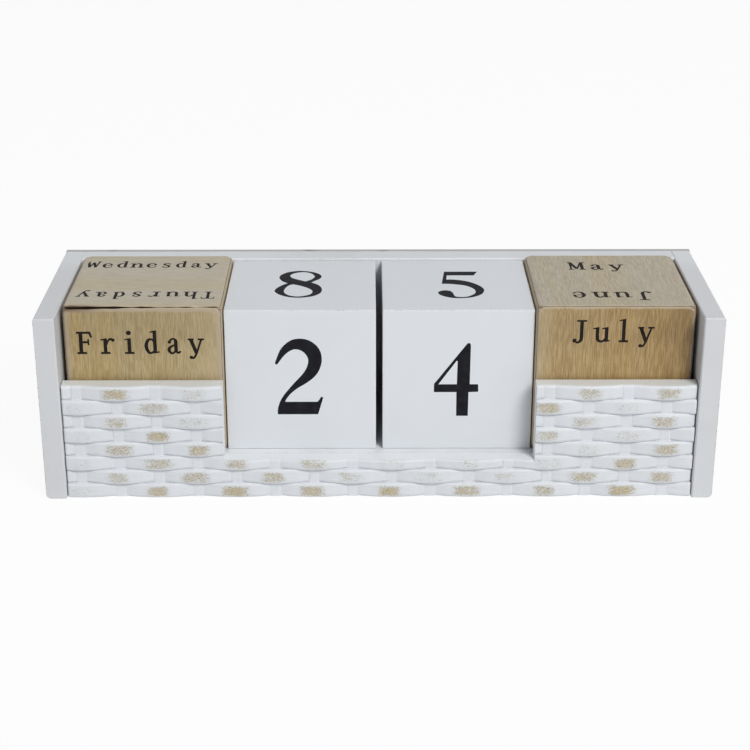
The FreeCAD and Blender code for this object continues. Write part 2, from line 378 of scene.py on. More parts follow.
lettering = {
    "bold": 0.022,      # how much the ink spreads past the nib
    "thinnest": 0.068,  # the nib's least width
    "thinBar": 0.1,     # bars thinner than this spread too
    "footThick": 0.075,
    "wobble": 0.012,    # how much the letters' widths vary
    "wobblePace": 5.1,  # radians from letter to letter
}


def bar(x0, y0, x1, y1):
    spread = lettering["bold"] / 2 if y1 - y0 < lettering["thinBar"] else 0
    return [(x0, y0 - spread), (x1, y0 - spread), (x1, y1 + spread), (x0, y1 + spread)]


def upright(x, low, high, width=0.13):
    half = (width + lettering["bold"]) / 2
    return bar(x - half, low, x + half, high)


def foot(x, reach=0.18, y=0.0):
    return bar(x - reach, y, x + reach, y + lettering["footThick"])


def flag(x, y):
    return [(x - .2, y - .12), (x - .07, y - .1), (x + .07, y - .1), (x + .07, y), (x - .2, y - .06)]


def ball(x, y, radius, sides=16):
    turns = [2 * math.pi * side / sides for side in range(sides)]
    return [(x + radius * math.cos(turn), y + radius * math.sin(turn)) for turn in turns]


def flow(points, steps=5):  # smooth run through the points
    p = np.array(points, float)
    p = np.vstack([2 * p[0] - p[1], p, 2 * p[-1] - p[-2]])
    run = []
    for a, b, c, d in zip(p[:-3], p[1:-2], p[2:-1], p[3:]):
        for t in np.arange(steps) / steps:
            run.append(0.5 * (2 * b + (c - a) * t + (2 * a - 5 * b + 4 * c - d) * t * t
                              + (3 * b - a - 3 * c + d) * t ** 3))
    run.append(p[-2])
    return np.array(run)


def pen(*points):  # a stroke through (x, y, width) points
    run = flow(points) if len(points) > 2 else np.array(points, float)
    ahead = np.gradient(run[:, :2], axis=0)
    ahead /= np.linalg.norm(ahead, axis=1)[:, None]
    width = np.maximum(run[:, 2:3], lettering["thinnest"]) + lettering["bold"]
    side = np.column_stack([-ahead[:, 1], ahead[:, 0]]) * width / 2
    left, right = run[:, :2] + side, run[:, :2] - side
    return [tuple(q) for q in np.vstack([left, right[::-1]])]


def mirrored(shape):
    return [(-x, y) for x, y in shape]


def contour(*runs):  # closed outline of smooth runs that meet at corners
    outline = []
    for run in runs:
        outline += [tuple(q) for q in (flow(run) if len(run) > 2 else np.array(run, float))]
    return outline


archRight = pen((-.14, .46, .05), (-.02, .62, .08), (.1, .645, .1), (.18, .53, .135), (.2, .3, .14),
                (.2, 0, .14))
bowlLeft = pen((.12, .52, .05), (.03, .65, .06), (-.13, .62, .1), (-.22, .36, .14), (-.14, .09, .11),
               (-.01, .035, .07), (.12, .13, .05))
smallRound = pen((0, .665, .065), (-.15, .57, .11), (-.21, .345, .14), (-.15, .12, .11), (0, .03, .065))
capitalRound = pen((0, .965, .07), (-.2, .86, .12), (-.29, .5, .16), (-.2, .14, .12), (0, .035, .07))
topTick = [(.24, .94), (.3, 1), (.36, .76), (.315, .75)]
letterShapes = {
    "A": [pen((-.3, .03, .06), (0, .97, .06)), pen((0, .97, .14), (.3, .03, .14)),
          bar(-.19, .3, .19, .36), foot(-.3, .13), foot(.3, .15)],
    "D": [upright(-.2, 0, 1), bar(-.36, .94, -.1, 1), bar(-.36, 0, -.1, .06),
          pen((-.2, .965, .07), (.06, .95, .08), (.26, .78, .14), (.31, .5, .16), (.26, .22, .14),
              (.06, .05, .08), (-.2, .035, .07))],
    "F": [upright(-.175, 0, 1, .14), foot(-.145, .21), bar(-.355, .92, .255, 1),
          [(.155, .94), (.255, 1), (.325, .75), (.245, .73)], bar(-.15, .49, .155, .57),
          bar(.11, .39, .185, .67)],
    "J": [upright(.07, .25, 1), pen((.07, .32, .14), (.05, .1, .12), (-.06, -.01, .08), (-.17, 0, .07)),
          ball(-.22, .07, .095), bar(-.15, .94, .29, 1)],
    "M": [upright(-.26, 0, 1, .07), upright(.25, 0, 1), pen((-.26, .97, .15), (0, .1, .13)),
          pen((0, .1, .06), (.24, .97, .06)), foot(-.26, .12), foot(.25, .15), bar(-.38, .94, -.2, 1),
          bar(.17, .94, .4, 1)],
    "N": [upright(-.26, 0, 1, .06), foot(-.26, .13), pen((-.27, .97, .14), (.26, .05, .14)),
          upright(.26, .03, 1, .06), bar(.13, .94, .39, 1), bar(-.4, .94, -.2, 1)],
    "O": [capitalRound, mirrored(capitalRound)],
    "S": [pen((.24, .74, .06), (.12, .94, .075), (-.08, .955, .09), (-.22, .78, .14), (-.08, .58, .17),
              (.12, .45, .17), (.23, .25, .14), (.1, .05, .09), (-.1, .04, .08), (-.26, .24, .06)),
          bar(.22, .68, .27, 1), bar(-.29, 0, -.24, .3)],
    "T": [upright(0, 0, 1), foot(0), bar(-.33, .94, .33, 1), topTick, mirrored(topTick)],
    "W": [pen((-.31, .97, .14), (-.16, .03, .13)), pen((-.16, .03, .06), (0, .85, .06)),
          pen((0, .85, .13), (.16, .03, .13)), pen((.16, .03, .06), (.3, .97, .06)),
          bar(-.42, .94, -.2, 1), bar(.2, .94, .4, 1)],
    "a": [upright(.1, .1, .52),
          pen((-.18, .52, .09), (-.1, .645, .065), (0, .675, .07), (.09, .6, .12), (.1, .48, .14)),
          ball(-.17, .53, .075),
          pen((.08, .4, .05), (-.08, .34, .07), (-.2, .2, .12), (-.13, .05, .09), (-.02, .03, .07),
              (.09, .14, .05)), pen((.1, .18, .12), (.15, .06, .08), (.22, .045, .06), (.29, .12, .045))],
    "b": [upright(-.18, 0, 1.05), flag(-.18, 1.07), mirrored(bowlLeft)],
    "c": [pen((.16, .53, .09), (.06, .65, .065), (-.1, .63, .1), (-.2, .35, .14), (-.12, .09, .12),
              (.03, .025, .075), (.15, .08, .055), (.22, .19, .04)), ball(.17, .53, .08)],
    "d": [upright(.15, .03, 1.05), flag(.15, 1.07), bowlLeft,
          [(.08, .1), (.1, 0), (.33, .055), (.33, .11)]],
    "e": [bar(-.2, .345, .22, .4),
          pen((.2, .36, .08), (.17, .54, .1), (.03, .665, .065), (-.14, .6, .1), (-.215, .35, .14),
              (-.14, .1, .12), (.02, .025, .075), (.16, .08, .055), (.24, .2, .04))],
    "g": [bowlLeft, upright(.17, -.05, .66),
          pen((.17, 0, .14), (.13, -.16, .09), (-.02, -.22, .07), (-.14, -.19, .06)),
          ball(-.18, -.15, .07), bar(.17, .6, .3, .66)],
    "h": [upright(-.2, 0, 1.05), foot(-.2, .16), flag(-.2, 1.07), archRight, foot(.2, .16)],
    "i": [upright(0, 0, .7), foot(0, .2), flag(0, .73), ball(-.01, .95, .105)],
    "l": [upright(0, 0, 1.05), foot(0, .2), flag(0, 1.07)],
    "m": [upright(-.3, 0, .66, .12), upright(0, 0, .5, .12), upright(.3, 0, .5, .12), foot(-.3, .12),
          foot(0, .12), foot(.3, .12), flag(-.3, .7),
          pen((-.26, .46, .045), (-.17, .62, .07), (-.07, .635, .09), (0, .48, .12)),
          pen((.04, .46, .045), (.13, .62, .07), (.23, .635, .09), (.3, .48, .12))],
    "n": [upright(-.2, 0, .66), foot(-.2, .16), flag(-.2, .7), archRight, foot(.2, .16)],
    "o": [smallRound, mirrored(smallRound)],
    "p": [upright(-.18, -.24, .66), foot(-.18, .16, -.24), flag(-.18, .7), mirrored(bowlLeft)],
    "r": [upright(-.08, 0, .68), foot(-.08, .2), flag(-.08, .72),
          pen((-.03, .42, .05), (.03, .58, .06), (.13, .665, .085), (.22, .66, .09)),
          ball(.25, .625, .075)],
    "s": [pen((.17, .52, .05), (.08, .65, .065), (-.07, .655, .08), (-.15, .53, .11), (-.05, .4, .13),
              (.09, .31, .13), (.15, .17, .11), (.06, .04, .08), (-.09, .03, .065), (-.19, .16, .05)),
          bar(.15, .47, .19, .69), bar(-.215, 0, -.175, .23)],
    "t": [upright(-.04, .2, .84, .13), bar(-.2, .61, .2, .67),
          pen((-.04, .28, .13), (0, .08, .1), (.1, .03, .07), (.2, .12, .045))],
    "u": [upright(-.19, .25, .66), flag(-.19, .7),
          pen((-.19, .3, .14), (-.16, .1, .12), (-.04, .03, .085), (.08, .06, .07), (.16, .17, .05)),
          upright(.2, .02, .66), flag(.2, .7),
          [(.13, 0), (.27, .02), (.36, .05), (.36, .09), (.13, .09)]],
    "v": [pen((-.24, .64, .14), (.01, .03, .13)), pen((.24, .64, .06), (.01, .03, .06)),
          bar(-.37, .625, -.1, .685), bar(.1, .625, .37, .685)],
    "y": [pen((-.2, .64, .14), (.03, .02, .13)),
          pen((.24, .64, .065), (.03, .02, .065), (-.07, -.17, .07), (-.15, -.21, .06)),
          ball(-.2, -.17, .08), bar(-.33, .625, -.07, .685), bar(.1, .625, .37, .685)],
}

digitRound = pen((0, .97, .05), (-.17, .85, .12), (-.21, .5, .17), (-.17, .15, .12), (0, .03, .05))
digitShapes = {  # one digit height is 1; each has its ink and the holes in it
    "0": ([digitRound, mirrored(digitRound)], []),
    "1": ([upright(.02, 0, 1, .15), foot(.02, .2),
           pen((.0, .97, .05), (-.1, .87, .06), (-.18, .85, .05))], []),
    "2": ([contour([(-.292, .679), (-.27, .745), (-.228, .846), (-.167, .924), (-.081, .983), (.02, 1),
                    (.12, .979), (.206, .92), (.26, .839), (.279, .741), (.267, .647), (.228, .554),
                    (.163, .476), (.077, .41), (-.023, .347), (-.109, .273), (-.159, .207),
                    (-.177, .168)], [(.217, .168), (.242, .195), (.263, .234)], [(.292, .226), (.226, 0)],
                   [(-.27, 0), (-.267, .078), (-.238, .172), (-.195, .25), (-.131, .335), (-.045, .437),
                    (.041, .534), (.091, .616), (.113, .702), (.098, .772), (.048, .831), (-.023, .86),
                    (-.095, .846), (-.174, .784), (-.231, .71), (-.263, .667), (-.28, .662)])], []),
    "3": ([ball(-.17, .78, .07),
           pen((-.17, .8, .06), (-.08, .95, .06), (.06, .94, .09), (.15, .76, .16), (.06, .58, .08),
               (-.06, .54, .05)),
           pen((-.06, .54, .05), (.1, .5, .09), (.19, .28, .18), (.08, .07, .09), (-.08, .035, .06),
               (-.19, .14, .06)), ball(-.18, .18, .08)], []),
    "4": ([[(.008, 0), (.157, 0), (.16, .329), (.278, .333), (.284, .35), (.28, .43), (.272, .437),
            (.173, .437), (.178, .96), (.172, .985), (.158, .999), (.134, .992), (-.279, .441),
            (-.28, .337), (-.272, .329), (.006, .329)]],
          [[(-.223, .437), (.01, .437), (.015, .754), (.003, .757)]]),
    "5": ([contour([(-.192, 1), (.237, 1)], [(.183, .854), (-.163, .854)],
                   [(-.175, .696), (-.085, .693), (.04, .654), (.141, .583), (.23, .472), (.273, .378),
                    (.284, .283), (.257, .173), (.195, .087), (.114, .031), (.008, .003), (-.117, .008),
                    (-.209, .055), (-.274, .118), (-.298, .197), (-.272, .26), (-.208, .291),
                    (-.146, .268), (-.117, .213), (-.105, .142), (-.093, .079), (-.052, .047),
                    (.036, .047), (.096, .087), (.152, .157), (.174, .236), (.16, .33), (.112, .409),
                    (.042, .472), (-.046, .504), (-.134, .528), (-.24, .535)])], []),
    "6": ([pen((.2, .86, .06), (.1, .95, .07), (-.08, .86, .1), (-.2, .55, .16), (-.19, .25, .16),
               (-.08, .06, .09), (.04, .035, .06)),
           pen((.04, .035, .06), (.17, .15, .14), (.2, .32, .15), (.12, .52, .1), (0, .57, .06),
               (-.14, .46, .05)), ball(.19, .83, .07)], []),
    "7": ([bar(-.25, .84, .27, 1), pen((.24, .9, .05), (.05, .5, .08), (-.05, .2, .13), (-.07, 0, .17)),
           [(-.25, 1), (-.27, .7), (-.23, .7), (-.2, .84)]], []),
    "8": ([contour([(.16, .56), (.24, .48), (.285, .385), (.3, .29), (.283, .17), (.22, .076),
                    (.13, .023), (.01, 0), (-.115, .03), (-.216, .107), (-.272, .198), (-.285, .26),
                    (-.258, .36), (-.2, .458), (-.135, .53)],
                   [(-.135, .53), (-.198, .595), (-.238, .687), (-.249, .756), (-.228, .847),
                    (-.157, .939), (-.07, .985), (.022, 1), (.157, .96), (.25, .878), (.284, .779),
                    (.26, .69), (.212, .626), (.16, .56)])],
          [contour([(-.117, .809), (-.078, .893), (.033, .95), (.142, .908), (.198, .786), (.171, .695),
                    (.126, .634), (.085, .6)], [(.085, .6), (.002, .656), (-.087, .733), (-.117, .809)]),
           contour([(-.067, .486), (-.108, .458), (-.15, .366), (-.17, .244), (-.149, .153),
                    (-.085, .076), (.009, .046), (.1, .076), (.167, .137), (.184, .229), (.156, .305),
                    (.091, .382), (.006, .45), (-.067, .486)])]),
}


def signedArea(outline):
    return sum(a[0] * b[1] - b[0] * a[1] for a, b in zip(outline, outline[1:] + outline[:1])) / 2


def cleaned(outline):  # no doubled points, counter-clockwise
    kept = [p for p, q in zip(outline, outline[1:] + outline[:1]) if math.dist(p, q) > touch]
    return kept if signedArea(kept) > 0 else kept[::-1]


def wordPrint(text, capHeight, pitch, middle, baseline, inverted=False):  # ink outlines in millimetres
    ink = []
    turn = -1 if inverted else 1
    for place, letter in enumerate(text):
        start = (place - (len(text) - 1) / 2) * pitch
        for shape in letterShapes[letter]:
            wobble = 1 + lettering["wobble"] * math.sin(lettering["wobblePace"] * place + len(shape))
            ink.append([(middle + turn * (start + x * capHeight * wobble), baseline + turn * y * capHeight)
                        for x, y in shape])
    return ink, []


def digitPrint(digit, height, middle, baseline):
    ink, holes = digitShapes[digit]

    def placed(shapes):
        return [[(middle + x * height, baseline + y * height) for x, y in shape] for shape in shapes]

    return placed(ink), placed(holes)


# blocks: a rounded box whose faces carry flush printing; lengths are in millimetres, bumps in metres

faceAxes = {  # reading direction, up direction, outward
    "front": ((1, 0, 0), (0, 0, 1), (0, -1, 0)),
    "top": ((1, 0, 0), (0, 1, 0), (0, 0, 1)),
    "back": ((-1, 0, 0), (0, 0, 1), (0, 1, 0)),
    "bottom": ((1, 0, 0), (0, -1, 0), (0, 0, -1)),
    "left": ((0, -1, 0), (0, 0, 1), (-1, 0, 0)),
    "right": ((0, 1, 0), (0, 0, 1), (1, 0, 0)),
}
blockEdges = {
    "bends": (0.35, 0.7, 1.0),  # where the rounded edge has its lines, as shares of its turn
    "openLimit": 0.7,           # the widest joint, as a share of the edge's radius
    "unevenReach": 3,           # millimetres from the edge
    "unevenScale": 0.22,        # noise per millimetre
}
inkLook = {
    "gaps": (1500, 3, 0.7), "gapEdge": 0.06,
    "patches": (300, 3, 0.6), "patchRange": (0.35, 0.7), "patchTone": 1.5,
    "sheen": (900, 3, 0.55), "roughness": 0.5, "roughnessSpan": 0.25, "specular": 0.04,
    "texture": (1200, 3, 0.55), "bump": 0.00003,
}


def boxOf(*nodeNames):  # box round some CAD nodes, in millimetres
    corners = [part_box(n) for n in nodeNames]
    low = np.min([c[0] for c in corners], axis=0) / mm
    high = np.max([c[1] for c in corners], axis=0) / mm
    return low, high


def blockOf(low, high, shape):
    return {"centre": (low + high) / 2, "side": (high - low).max(), **shape}


def axesOf(face):
    return [np.array(axis, float) for axis in faceAxes[face]]


def meshPiece(name, points, faces, slots, materials, body, nodes, angle=30, wear=None):
    mesh = bpy.data.meshes.new(name)
    mesh.from_pydata([tuple(p) for p in points], [], faces)
    if wear is not None:
        mesh.attributes.new("wear", "FLOAT", "POINT").data.foreach_set("value", wear)
    for material in materials:
        mesh.materials.append(material)
    mesh.polygons.foreach_set("material_index", slots)
    weld = bmesh.new()
    weld.from_mesh(mesh)
    bmesh.ops.remove_doubles(weld, verts=weld.verts, dist=0.001 * mm)
    bmesh.ops.recalc_face_normals(weld, faces=weld.faces)
    weld.to_mesh(mesh)
    weld.free()
    mesh.polygons.foreach_set("use_smooth", [True] * len(mesh.polygons))
    mesh.set_sharp_from_angle(angle=math.radians(angle))
    piece = addObject(name, mesh)
    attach(piece, body)
    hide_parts(*nodes)


def printedZone(lines, prints):  # triangulates the middle of a face around its print
    low, high = lines[0], lines[-1]
    border = [(t, low) for t in lines[:-1]] + [(high, t) for t in lines[:-1]]
    border += [(t, high) for t in lines[:0:-1]] + [(low, t) for t in lines[:0:-1]]
    points, rings, inkIds, holeIds = list(border), [list(range(len(border)))], set(), set()
    for ink, holes in prints:
        for outlines, ids in ((ink, inkIds), (holes, holeIds)):
            for outline in map(cleaned, outlines):
                ids.add(len(rings))
                rings.append(list(range(len(points), len(points) + len(outline))))
                points += outline
    corners = [Vector(p) for p in points]
    spots, _, triangles, _, _, origins = delaunay_2d_cdt(corners, [], rings, 1, touch / 10, True)
    inked = [int(bool(inkIds & set(ids)) and not holeIds & set(ids)) for ids in origins]
    return [tuple(p) for p in spots], [list(f) for f in triangles], inked


def faceLines(block):  # lines across a face before its joints move them, and those of its printed zone
    half, bends = block["side"] / 2, len(blockEdges["bends"])
    flat, zone = half - block["radius"], half - block["border"]
    rim = list(np.linspace(zone, flat, 3))[1:]
    inner = list(np.linspace(-zone, zone, block["cells"] + 1))
    return [-half] * bends + [-t for t in rim[::-1]] + inner + rim + [half] * bends, inner


def blockFace(block, face, prints, gapAt=None):  # one face of a rounded box out to its mitres
    half, radius, corner = block["side"] / 2, block["radius"], block["corner"]
    flat, bends = half - radius, blockEdges["bends"]
    nominal, inner = faceLines(block)
    last = len(nominal) - 1
    reading, up, outward = axesOf(face)
    centre = np.array(block["centre"])

    def across(index, other, sides):  # where a line runs, which in the bend depends on the joint there
        steps = min(index, last - index)
        if steps >= len(bends):
            return nominal[index]
        gap = gapAt(sides[index >= len(bends)], nominal[other]) if gapAt else 0.0
        opened = math.asin(min(gap / radius, blockEdges["openLimit"]))
        turn = bends[len(bends) - 1 - steps] * (math.pi / 4 - opened)
        return math.copysign(flat + radius * math.tan(turn), nominal[index])

    def placed(x, y):  # rounds the edges, sands the corners and adds the hand-made unevenness
        flatX, flatY = max(-flat, min(flat, x)), max(-flat, min(flat, y))
        out = Vector((x - flatX, y - flatY, radius)).normalized() * radius
        nearX, nearY = half - abs(x), half - abs(y)
        least, most = min(nearX, nearY), max(nearX, nearY)
        rounded = corner - math.hypot(max(corner - least, 0), max(corner - most, 0))
        extra = max(min(least, corner) - rounded, 0) * block["sanding"]
        local = Vector((flatX, flatY, flat)) + out
        local -= Vector((math.copysign(extra, x), math.copysign(extra, y), extra))
        spot = centre + reading * local.x + up * local.y + outward * local.z
        wavy = 0.5 + 0.5 * noise.noise(Vector(spot) * blockEdges["unevenScale"])
        rough = block["unevenness"] * max(0.0, 1 - least / blockEdges["unevenReach"]) * wavy
        inwards = centre - spot
        return spot + inwards / np.linalg.norm(inwards) * rough

    points, faces, slots, grid = [], [], [], {}
    for i in range(last + 1):
        for j in range(last + 1):
            grid[i, j] = len(points)
            points.append(placed(across(i, j, ("left", "right")), across(j, i, ("low", "high"))))
    first = nominal.index(inner[0])
    for i in range(last):
        for j in range(last):
            if not (prints and first <= i < last - first and first <= j < last - first):
                faces.append([grid[i, j], grid[i + 1, j], grid[i + 1, j + 1], grid[i, j + 1]])
                slots.append(0)
    if prints:
        spots, triangles, inked = printedZone(inner, prints)
        base = len(points)
        points += [placed(x, y) for x, y in spots]
        faces += [[base + c for c in t] for t in triangles]
        slots += inked
    ring = [(i, 0) for i in range(last)] + [(last, j) for j in range(last)]
    ring += [(i, last) for i in range(last, 0, -1)] + [(0, j) for j in range(last, 0, -1)]
    return points, faces, slots, [grid[r] for r in ring], [(nominal[i], nominal[j]) for i, j in ring]


def inkMaterial(name, colour, paper, missing):  # missing: the noise value above which the paper shows
    material, tree, shader, place = newMaterial(name)
    worn = fade(tree, grain(tree, place, *inkLook["gaps"]), missing, missing + inkLook["gapEdge"])
    patches = fade(tree, grain(tree, place, *inkLook["patches"]), *inkLook["patchRange"])
    tone = blend(tree, patches, colour, tuple(c * inkLook["patchTone"] for c in colour))
    sheen = grain(tree, place, *inkLook["sheen"])
    rough = calc(tree, "MULTIPLY_ADD", sheen, inkLook["roughnessSpan"], inkLook["roughness"])
    texture = grain(tree, place, *inkLook["texture"])
    coat(tree, shader, blend(tree, worn, tone, paper), rough, texture, inkLook["bump"])
    shader.inputs["Specular IOR Level"].default_value = inkLook["specular"]
    return material


print("lettering ready")

# number cubes

numberCubes = {
    "paint": (0.708, 0.733, 0.769, 1), "shade": (0.665, 0.69, 0.715, 1), "drift": 0.4,
    "stain": (0.5, 0.37, 0.33, 1), "staining": 0.12,
    "wood": (0.38, 0.3, 0.22, 1), "wear": 0.45, "wearWidth": 0.45, "corner": 0.5, "bump": 0.00003,
    "ink": (0.013, 0.013, 0.016, 1), "inkGaps": 0.74,
    "shape": {"radius": 0.35, "corner": 0.5, "border": 2.5, "cells": 12, "sanding": 0.0,
              "unevenness": 0.04},
    "digits": {  # digit, height, middle and baseline from the face's middle
        "tens_cube": {"front": ("2", 32.7, -0.65, -14.7), "top": ("8", 32.7, -1.6, -15.8),
                      "back": ("0", 32.4, 0, -16), "bottom": ("1", 32.4, 0, -16),
                      "left": ("6", 32.4, 0, -16), "right": ("7", 32.4, 0, -16)},
        "units_cube": {"front": ("4", 31.6, -0.6, -15.5), "top": ("5", 32.2, 2.15, -16.6),
                       "back": ("0", 32.4, 0, -16), "bottom": ("1", 32.4, 0, -16),
                       "left": ("2", 32.4, 0, -16), "right": ("3", 32.4, 0, -16)},
    },
}


def paintedCube(low, high):
    material, tree, shader, place = newMaterial("cubePaint")
    paintWithWear(tree, shader, place, low, high, numberCubes, numberCubes["paint"])
    return material


def makeNumberCube(nodeName, body):
    low, high = boxOf(nodeName)
    block = blockOf(low, high, numberCubes["shape"])
    paint = paintedCube(tuple(low * mm), tuple(high * mm))
    ink = inkMaterial(nodeName + "_ink", numberCubes["ink"], numberCubes["paint"], numberCubes["inkGaps"])
    points, faces, slots = [], [], []
    for face, digit in numberCubes["digits"][nodeName].items():
        newPoints, newFaces, newSlots = blockFace(block, face, [digitPrint(*digit)])[:3]
        faces += [[len(points) + c for c in f] for f in newFaces]
        points += newPoints
        slots += newSlots
    meshPiece(nodeName + "_printed", np.array(points) * mm, faces, slots, [paint, ink], body, [nodeName])


makeNumberCube("tens_cube", "tens_block")
makeNumberCube("units_cube", "units_block")
print("number cubes finished")

# word blocks

wordBlocks = {
    "weekday": {  # for each plate's wood: its worn band in millimetres, and how strongly it is toned
        "upright": {"light": (0.494, 0.393, 0.217, 1), "dark": (0.348, 0.255, 0.118, 1),
                    "grain": (1, 1, 0.06), "band": 2.4, "paled": 0.35, "deepened": 0.0, "aged": 0.15},
        "flat": {"light": (0.52, 0.472, 0.385, 1), "dark": (0.44, 0.395, 0.312, 1),
                 "grain": (0.05, 1, 1), "band": 1.0, "paled": 0.0, "deepened": 0.0, "aged": 0.0},
        # how strongly painted shade darkens the open joint along the front-top edge
        "paleRun": (0.012, 0.029), "bareWoodAndJointShade": 0.8,
    },
    "month": {
        # the month's upright plates darken toward the right end: slightly browner wood there, mostly
        # painted shadow of the right side panel
        "upright": {"light": (0.49, 0.355, 0.177, 1), "dark": (0.30, 0.199, 0.084, 1),
                    "grain": (1, 1, 0.055), "band": 1.3, "paled": 0.35, "deepened": 0.8, "aged": 0.15},
        "flat": {"light": (0.485, 0.435, 0.345, 1), "dark": (0.365, 0.32, 0.243, 1),
                 "grain": (1, 0.05, 1), "band": 0.9, "paled": 0.0, "deepened": 0.0, "aged": 0.0},
        "paleRun": (-0.020, -0.031), "bareWoodAndJointShade": 0.0,
    },
    "shape": {"radius": 1.6, "corner": 3.2, "border": 3.2, "cells": 16, "sanding": 0.45,
              "unevenness": 0.22},
    "plate": {  # runs in metres: across from the middle, down from the top, back from the front
        "pore": (0.2, 0.12, 0.05, 1), "pale": (0.56, 0.48, 0.32, 1),
        # the right end's darker tone and its run: slightly browner wood, mostly painted shadow
        "endBrownAndShadowTone": (0.66, 0.61, 0.53, 1), "endBrownAndShadowRun": (0.006, 0.031), "topDarkeningRun": (0.026, 0.012),
        "band": (0.42, 0.345, 0.25, 1), "bandCorner": 4.2, "bandStrength": 0.78, "bandEdge": (0.5, 0.25),
        "bandNoise": (260, 3, 0.6), "bandRagged": 1.6, "bandShift": 0.8,
        "glue": (0.06, 0.036, 0.022, 1), "glueStrength": 0.75, "glueRange": (0.15, 0.75),
        "glueNoise": (520, 3, 0.7), "glueGaps": (0.45, 0.62),
        # painted shade along the open joint: its tone, and its reach across, down and back
        "jointShade": (0.15, 0.085, 0.06, 1), "jointShadeAcross": (0.012, 0.028), "jointShadeDown": (0.0032, 0.0012),
        "jointShadeBack": (0.0026, 0.0008), "bump": 0.00006,
    },
    "ply": {
        "wood": (0.2, 0.14, 0.085, 1), "roughness": 0.8, "bump": 0.00015,
        "layers": (900, 2, 0.5, (0.1, 1, 1)), "layerRange": (0.4, 0.6),
    },
    "joint": {  # half a joint's opening in millimetres; noises are per millimetre
        "plain": 0.09, "play": 0.06, "playScale": 0.35, "least": 0.02,
        "blockSeed": 3.7, "faceSeed": 11.3, "seeds": {"left": 1, "right": 2, "low": 3, "high": 4},
        "chips": 0.3, "chipScale": 0.9, "chipSeed": 5.5,
        "sprung": {  # wide at the left, narrow at the right, where it closes, over what run
            ("weekday", "front", "high"): (0.92, 0.15, -13.0, 7.5),
            ("weekday", "top", "low"): (0.55, 0.12, -15.0, 7.5),
        },
    },
    "ink": (0.016, 0.013, 0.012, 1), "inkGaps": 0.76,
    "words": {  # text, cap height, pitch, middle, baseline from the face's middle, inverted
        "weekday": {
            "front": [("Friday", 9.3, 8.7, -1.15, 11.4, False), ("Saturday", 7.6, 6.9, 0, -14, True)],
            "top": [("Wednesday", 7.7, 6.12, -1.4, 15.2, False), ("Thursday", 8.0, 7.1, 0.15, -14.4, True)],
            "back": [("Monday", 9.0, 8.6, 0, 14, False), ("Tuesday", 8.6, 7.8, 0, -14, True)],
            "bottom": [("Sunday", 9.0, 8.6, 0, 14, False)],
            "left": [], "right": [],
        },
        "month": {
            "front": [("July", 9.2, 8.6, -1.15, 16.05, False), ("August", 9.0, 8.4, 0, -14, True)],
            "top": [("May", 9.2, 8.2, -2.6, 11.8, False), ("June", 9.4, 8.7, -0.5, -15.3, True)],
            "back": [("January", 8.4, 7.4, 0, 14, False), ("February", 7.6, 6.6, 0, -14, True)],
            "bottom": [("March", 9.0, 8.4, 0, 14, False), ("April", 9.0, 8.4, 0, -14, True)],
            "left": [("September", 6.9, 6.0, 0, 14, False), ("October", 8.2, 7.2, 0, -14, True)],
            "right": [("November", 7.2, 6.5, 0, 14, False), ("December", 7.2, 6.5, 0, -14, True)],
        },
    },
}


def plateWood(name, low, high, block, wood):  # wood: the tones of the upright or of the flat plates
    material, tree, shader, place = newMaterial(name)
    look = wordBlocks["plate"]
    x, y, height = axes(tree, place)
    middle, front, top = (low[0] + high[0]) / 2, low[1], high[2]
    skin = useGroup(tree, woodGrain, {"Place": place, "Stretch": wood["grain"], "Light": wood["light"],
                                      "Dark": wood["dark"], "Pore": look["pore"]})
    box = {"Place": place, "Low": low, "High": high, "Corner": look["bandCorner"]}
    edge = useGroup(tree, edgeBand, box)["Distance"]

    def layer(amount, strength, under, over, kind="MIX"):
        return blend(tree, calc(tree, "MULTIPLY", amount, strength), under, over, kind)

    def across(run):
        return fade(tree, x, middle + run[0], middle + run[1])

    colour = layer(across(block["paleRun"]), wood["paled"], skin["Color"], look["pale"])
    # toward the right end: slightly browner wood, mostly painted shadow cast by the right side panel
    colour = layer(across(look["endBrownAndShadowRun"]), wood["deepened"], colour, look["endBrownAndShadowTone"], "MULTIPLY")
    # the upright plates turn darker toward their top
    upper = fade(tree, height, *(top - down for down in look["topDarkeningRun"]))
    colour = layer(upper, wood["aged"], colour, black, "MULTIPLY")
    shifted = calc(tree, "SUBTRACT", edge, look["bandShift"])
    ragged = calc(tree, "MULTIPLY_ADD", grain(tree, place, *look["bandNoise"]), look["bandRagged"], shifted)
    worn = fade(tree, ragged, wood["band"] - look["bandEdge"][0], wood["band"] + look["bandEdge"][1])
    colour = layer(calc(tree, "SUBTRACT", 1.0, worn), look["bandStrength"], colour, look["band"])
    clean = fade(tree, edge, *look["glueRange"])
    dirt = fade(tree, grain(tree, place, *look["glueNoise"]), *look["glueGaps"])
    dirt = calc(tree, "MULTIPLY", calc(tree, "SUBTRACT", 1.0, clean), dirt)
    colour = layer(dirt, look["glueStrength"], colour, look["glue"])
    # painted shade along the open joint at the front-top edge, darkest at the left end
    nearOpen = calc(tree, "MULTIPLY", fade(tree, y, *(front + back for back in look["jointShadeBack"])),
                    fade(tree, height, *(top - down for down in look["jointShadeDown"])))
    jointShadeMask = calc(tree, "MULTIPLY", nearOpen, across([-reach for reach in look["jointShadeAcross"]]))
    colour = layer(jointShadeMask, block["bareWoodAndJointShade"], colour, look["jointShade"])
    coat(tree, shader, colour, skin["Roughness"], skin["Height"], look["bump"])
    return material


def plyMaterial(name):  # the plies seen in the mitres and the open joint
    material, tree, shader, place = newMaterial(name)
    look = wordBlocks["ply"]
    layers = grain(tree, place, *look["layers"])
    colour = blend(tree, fade(tree, layers, *look["layerRange"]), look["wood"], wordBlocks["plate"]["glue"])
    coat(tree, shader, colour, look["roughness"], layers, look["bump"])
    return material


